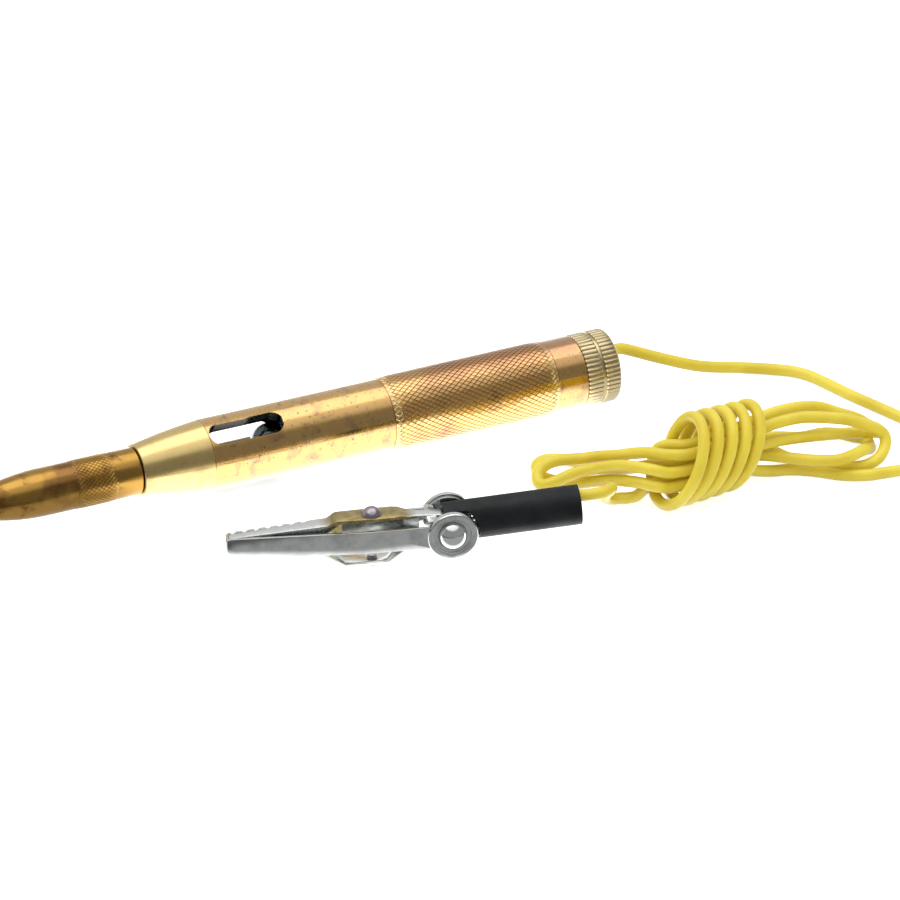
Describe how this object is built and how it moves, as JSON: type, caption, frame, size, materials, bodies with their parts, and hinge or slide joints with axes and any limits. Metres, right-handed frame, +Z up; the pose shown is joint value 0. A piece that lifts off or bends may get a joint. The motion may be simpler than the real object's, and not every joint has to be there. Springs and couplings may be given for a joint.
{
  "type": "voltage tester",
  "caption": "Pen-shaped voltage tester with a capped needle, a lamp behind slot windows, and a yellow lead in a hank that ends in a spring clip.",
  "frame": {"origin": "on the surface that the tester lies on, below the middle of the pen's length and of its width", "axes": "+X along the pen from the needle's cap to the lead, +Y away from the clip, +Z up"},
  "size_m": [0.166, 0.0537, 0.0159],
  "materials": {
    "aged_brass": "worn lacquered brass with brown patches",
    "pale_brass": "pale brass, dull",
    "cap_metal": "bare brass, browned with age",
    "bright_steel": "bright plated steel",
    "spring_steel": "drawn wire",
    "lamp_glass": "clear",
    "filament": "drawn wire",
    "black_glass": "black glass filling",
    "fibre": "brown pressed fibre",
    "solder": "dull solder",
    "copper": "bare copper strands",
    "lead_yellow": "soft yellow sheath",
    "black_rubber": "matte black sleeve"
  },
  "bodies": {
    "pen": {"barrel": "aged_brass", "nose_cone": "pale_brass", "needle": "bright_steel", "lamp_glass": "lamp_glass", "lamp_base": "pale_brass", "lamp_filament": "filament", "lamp_insulator": "black_glass", "lamp_contact": "solder", "insulating_tube": "fibre", "contact_spring": "spring_steel"},
    "front_cap": {"front_cap": "cap_metal"},
    "lead_end": {"contact_disc": "pale_brass", "disc_solder": "solder", "lead_core_front": "copper", "rear_bush": "black_glass", "lead_inlet": "lead_yellow", "lead_free": "lead_yellow", "lead_hank": "lead_yellow", "lead_outlet": "lead_yellow", "lead_core_rear": "copper", "clip_solder": "solder", "clip_lower_jaw": "bright_steel", "clip_pivot": "bright_steel", "clip_spring": "spring_steel", "clip_lower_rivet": "bright_steel", "clip_sleeve": "black_rubber"},
    "rear_cap": {"rear_cap": "pale_brass"},
    "clip_jaw": {"clip_upper_jaw": "bright_steel", "clip_upper_rivet": "bright_steel"}
  },
  "joints": [
    {"name": "cap_pull", "type": "slide", "parent": "pen", "child": "front_cap", "axis": [-1, 0, 0], "range_m": [0, 0.034]},
    {"name": "lead_slide", "type": "slide", "parent": "pen", "child": "lead_end", "axis": [1, 0, 0], "range_m": [0, 0.006], "deforming": ["contact_spring"]},
    {"name": "rear_turn", "type": "hinge", "parent": "lead_end", "child": "rear_cap", "pos_m": [0.0572, 0, 0.0065], "axis": [1, 0, 0], "range_deg": [0, 2160]},
    {"name": "jaw_open", "type": "hinge", "parent": "lead_end", "child": "clip_jaw", "pos_m": [0.01286, -0.03837, 0.0065], "axis": [0.2588, 0.9659, 0], "range_deg": [0, 20], "stiffness_Nm_per_rad": 0.05, "springref_deg": -20.05, "deforming": ["clip_spring"]}
  ],
  "couplings": [
    {"joint": "lead_slide", "follows": "rear_turn", "m_per_rad": 0.00015915}
  ]
}
